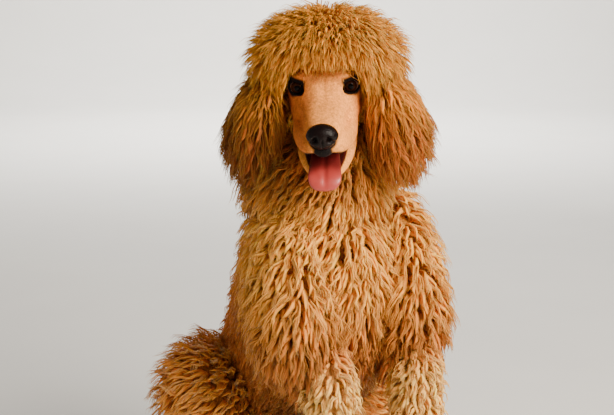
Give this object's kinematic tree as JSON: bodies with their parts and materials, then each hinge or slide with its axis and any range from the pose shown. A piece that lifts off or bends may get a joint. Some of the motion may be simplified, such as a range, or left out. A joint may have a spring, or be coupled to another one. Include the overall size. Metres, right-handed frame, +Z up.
{
  "type": "standard poodle",
  "caption": "Life-size still model of a young apricot standard poodle, sitting upright with mouth open and tongue showing, round topknot, long wavy ears and curly coat.",
  "frame": {"origin": "middle of the animal's footprint box, on the floor it sits on", "axes": "+Z up, -Y the way the chest faces, +X the dog's own left"},
  "size_m": [0.4338, 0.6664, 0.804],
  "materials": {
    "body_coat": "matte",
    "crown_coat": "matte",
    "ear_coat": "matte",
    "clipped_face": "matte",
    "clipped_feet": "matte",
    "nose_leather": "gloss",
    "eye": "gloss",
    "tongue": "satin"
  },
  "bodies": {
    "root": {"head": "clipped_face", "lower_jaw": "clipped_face", "tongue": "tongue", "nose": "nose_leather", "eye_left": "eye", "eye_right": "eye", "forepaw_left": "clipped_feet", "hindpaw_left": "clipped_feet", "forepaw_right": "clipped_feet", "hindpaw_right": "clipped_feet", "topknot": "crown_coat", "ear_left": "ear_coat", "ear_right": "ear_coat", "neck": "body_coat", "foreleg_left": "body_coat", "foreleg_right": "body_coat", "tail": "body_coat", "hindleg_left": "body_coat", "hindleg_right": "body_coat", "torso": "body_coat"}
  },
  "joints": []
}
